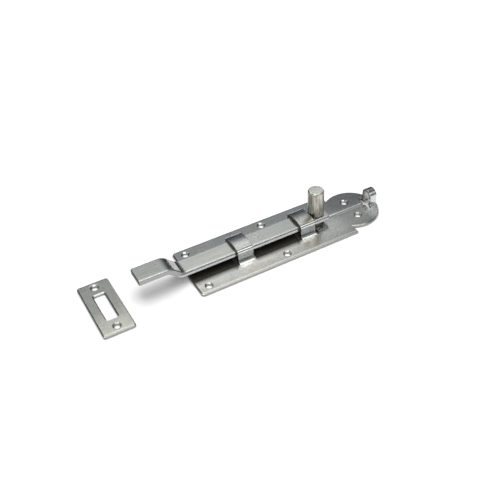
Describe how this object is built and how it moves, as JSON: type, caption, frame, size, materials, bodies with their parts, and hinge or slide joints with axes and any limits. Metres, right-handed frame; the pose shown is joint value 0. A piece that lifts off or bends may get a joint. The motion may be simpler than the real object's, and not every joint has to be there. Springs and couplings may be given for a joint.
{
  "type": "cranked barrel bolt",
  "caption": "Surface-mounted sliding bolt with a cranked flat bar, turned knob, padlock loop on a pressed base plate, and a separate slotted keep plate.",
  "frame": {"origin": "centre of the four body screws, on the mounting face of the base plate", "axes": "+X along the bolt from the tongue to the padlock loop, +Z away from the door, out of the mounting face"},
  "size_m": [0.2029, 0.047, 0.0283],
  "materials": {
    "plate_zinc": "bright zinc plated pressed sheet",
    "bar_zinc": "bright zinc plated drawn bar",
    "knob_steel": "turned steel with a thin yellowish passivation",
    "foot_steel": "plain turned steel",
    "keep_zinc": "dull zinc plated sheet"
  },
  "bodies": {
    "plate": {"base_plate": "plate_zinc", "keep_plate": "keep_zinc"},
    "bolt": {"bolt_bar": "bar_zinc", "knob": "knob_steel", "knob_foot": "foot_steel", "front_foot": "bar_zinc"}
  },
  "joints": [
    {"name": "bolt_slide", "type": "slide", "parent": "plate", "child": "bolt", "axis": [1, 0, 0], "range_m": [0, 0.0325]}
  ]
}
